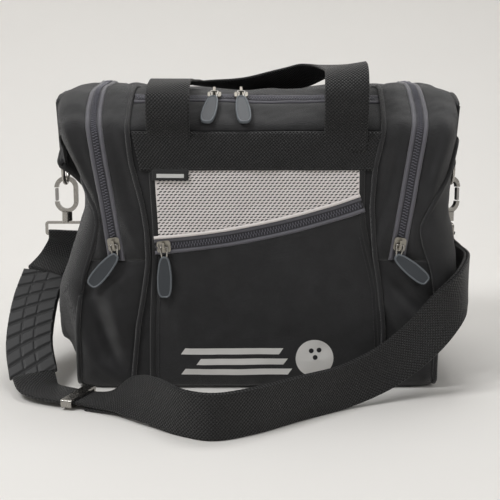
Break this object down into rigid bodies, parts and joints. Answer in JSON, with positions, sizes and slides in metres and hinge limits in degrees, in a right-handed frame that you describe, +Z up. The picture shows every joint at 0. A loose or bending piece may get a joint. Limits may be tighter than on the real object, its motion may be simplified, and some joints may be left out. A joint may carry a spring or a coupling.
{
  "type": "bowling ball bag",
  "caption": "Soft tote for one bowling ball with end pockets, a flat front pocket, carry handles and a clip-on shoulder strap.",
  "frame": {"origin": "middle of the base, on the surface that the bag stands on", "axes": "+Z up, -Y out of the front with the zipped flat pocket, +X to the right seen from the front"},
  "size_m": [0.435, 0.3792, 0.2905],
  "materials": {
    "black_polyester": "matte woven polyester over thin foam",
    "black_webbing": "ribbed polypropylene webbing",
    "piping": "fabric-covered piping cord",
    "spacer_mesh": "light grey spacer mesh with oval holes",
    "label": "plain woven label",
    "zip_tape": "woven zip tape",
    "zip_coil": "nylon coil",
    "base_board": "stiff plastic insert",
    "foam": "closed-cell foam",
    "nickel": "nickel-plated wire",
    "slider_metal": "gunmetal plated die-cast zinc",
    "gate_steel": "brushed plated steel",
    "pull_rubber": "slate grey moulded rubber",
    "pad_rubber": "moulded ribbed rubber pad"
  },
  "bodies": {
    "bag": {"base_panel": "black_polyester", "front_panel": "black_polyester", "rear_panel": "black_polyester", "left_divider": "black_polyester", "right_divider": "black_polyester", "top_front_strip": "black_polyester", "top_rear_panel": "black_polyester", "front_pocket_panel": "black_polyester", "left_inner_gusset": "black_polyester", "right_inner_gusset": "black_polyester", "left_outer_gusset": "black_polyester", "right_outer_gusset": "black_polyester", "left_end_panel": "black_polyester", "right_end_panel": "black_polyester", "lower_gussets": "black_polyester", "front_band": "black_webbing", "rear_band": "black_webbing", "ring_tabs": "black_webbing", "inner_piping": "piping", "outer_piping": "piping", "mesh_panel": "spacer_mesh", "side_label": "label", "top_zip_tapes": "zip_tape", "pocket_zip_tapes": "zip_tape", "end_zip_tapes": "zip_tape", "top_zip_coil": "zip_coil", "pocket_zip_coil": "zip_coil", "end_zip_coils": "zip_coil", "base_board": "base_board", "foam_ball_cup": "foam", "strap_rings": "nickel"},
    "front_handle": {"front_handle": "black_webbing"},
    "rear_handle": {"rear_handle": "black_webbing"},
    "shoulder_strap": {"left_strap_end": "black_webbing", "shoulder_pad": "pad_rubber", "strap_outer_layer": "black_webbing", "strap_inner_layer": "black_webbing", "left_strap_loop": "nickel", "right_strap_loop": "nickel"},
    "left_hook": {"left_hook_body": "nickel"},
    "right_hook": {"right_hook_body": "nickel"},
    "left_gate": {"left_hook_gate": "gate_steel"},
    "right_gate": {"right_hook_gate": "gate_steel"},
    "adjuster": {"strap_adjuster": "nickel"},
    "top_left_slider": {"top_left_slider": "slider_metal"},
    "top_left_pull": {"top_left_pull_loop": "nickel", "top_left_pull_tab": "pull_rubber"},
    "top_right_slider": {"top_right_slider": "slider_metal"},
    "top_right_pull": {"top_right_pull_loop": "nickel", "top_right_pull_tab": "pull_rubber"},
    "front_slider": {"front_slider": "slider_metal"},
    "front_pull": {"front_pull_loop": "nickel", "front_pull_tab": "pull_rubber"},
    "left_slider": {"left_slider": "slider_metal"},
    "left_pull": {"left_pull_loop": "nickel", "left_pull_tab": "pull_rubber"},
    "right_slider": {"right_slider": "slider_metal"},
    "right_pull": {"right_pull_loop": "nickel", "right_pull_tab": "pull_rubber"}
  },
  "joints": [
    {"name": "front_handle_swing", "type": "hinge", "parent": "bag", "child": "front_handle", "pos_m": [0, -0.1255, 0.236], "axis": [1, 0, 0], "range_deg": [0, 150]},
    {"name": "rear_handle_swing", "type": "hinge", "parent": "bag", "child": "rear_handle", "pos_m": [0, 0.1255, 0.236], "axis": [1, 0, 0], "range_deg": [0, 175]},
    {"name": "strap_swing", "type": "hinge", "parent": "bag", "child": "shoulder_strap", "pos_m": [0, 0, 0.189], "axis": [-1, 0, 0], "range_deg": [0, 115]},
    {"name": "left_hook_swivel", "type": "hinge", "parent": "shoulder_strap", "child": "left_hook", "pos_m": [-0.188, 0, 0.139], "axis": [0, 0, 1], "range_deg": [-12, 12]},
    {"name": "right_hook_swivel", "type": "hinge", "parent": "shoulder_strap", "child": "right_hook", "pos_m": [0.192, 0, 0.139], "axis": [0, 0, 1], "range_deg": [-10, 10]},
    {"name": "left_gate_hinge", "type": "hinge", "parent": "left_hook", "child": "left_gate", "pos_m": [-0.1974, 0, 0.1576], "axis": [0, 1, 0], "range_deg": [0, 25], "stiffness_Nm_per_rad": 0.02},
    {"name": "right_gate_hinge", "type": "hinge", "parent": "right_hook", "child": "right_gate", "pos_m": [0.20014, 0.0047, 0.1576], "axis": [0.5, -0.866, 0], "range_deg": [0, 25], "stiffness_Nm_per_rad": 0.02},
    {"name": "adjuster_slide", "type": "slide", "parent": "shoulder_strap", "child": "adjuster", "axis": [0.9459, -0.3243, 0], "range_m": [-0.008, 0.008]},
    {"name": "top_left_zip", "type": "slide", "parent": "bag", "child": "top_left_slider", "axis": [-1, 0, 0], "range_m": [0, 0.054]},
    {"name": "top_right_zip", "type": "slide", "parent": "bag", "child": "top_right_slider", "axis": [1, 0, 0], "range_m": [0, 0.112]},
    {"name": "front_pocket_zip", "type": "hinge", "parent": "bag", "child": "front_slider", "pos_m": [-0.1315, -0.118, 0.79142], "axis": [0, -1, 0], "range_deg": [0, 15.24]},
    {"name": "left_pocket_zip", "type": "slide", "parent": "bag", "child": "left_slider", "axis": [-0.1521, 0, 0.9884], "range_m": [0, 0.085]},
    {"name": "right_pocket_zip", "type": "slide", "parent": "bag", "child": "right_slider", "axis": [0.1521, 0, 0.9884], "range_m": [0, 0.085]},
    {"name": "top_left_pull_swing", "type": "hinge", "parent": "top_left_slider", "child": "top_left_pull", "pos_m": [-0.038, -0.08088, 0.26551], "axis": [-1, 0, 0], "range_deg": [0, 150]},
    {"name": "top_right_pull_swing", "type": "hinge", "parent": "top_right_slider", "child": "top_right_pull", "pos_m": [-0.014, -0.08088, 0.26551], "axis": [-1, 0, 0], "range_deg": [0, 150]},
    {"name": "front_pull_swing", "type": "hinge", "parent": "front_slider", "child": "front_pull", "pos_m": [-0.082, -0.124, 0.131], "axis": [-0.9972, 0, -0.0747], "range_deg": [0, 120]},
    {"name": "left_pull_swing", "type": "hinge", "parent": "left_slider", "child": "left_pull", "pos_m": [-0.126, -0.124, 0.133], "axis": [-0.9884, 0, -0.1521], "range_deg": [0, 120]},
    {"name": "right_pull_swing", "type": "hinge", "parent": "right_slider", "child": "right_pull", "pos_m": [0.126, -0.124, 0.133], "axis": [-0.9884, 0, 0.1521], "range_deg": [0, 120]}
  ]
}
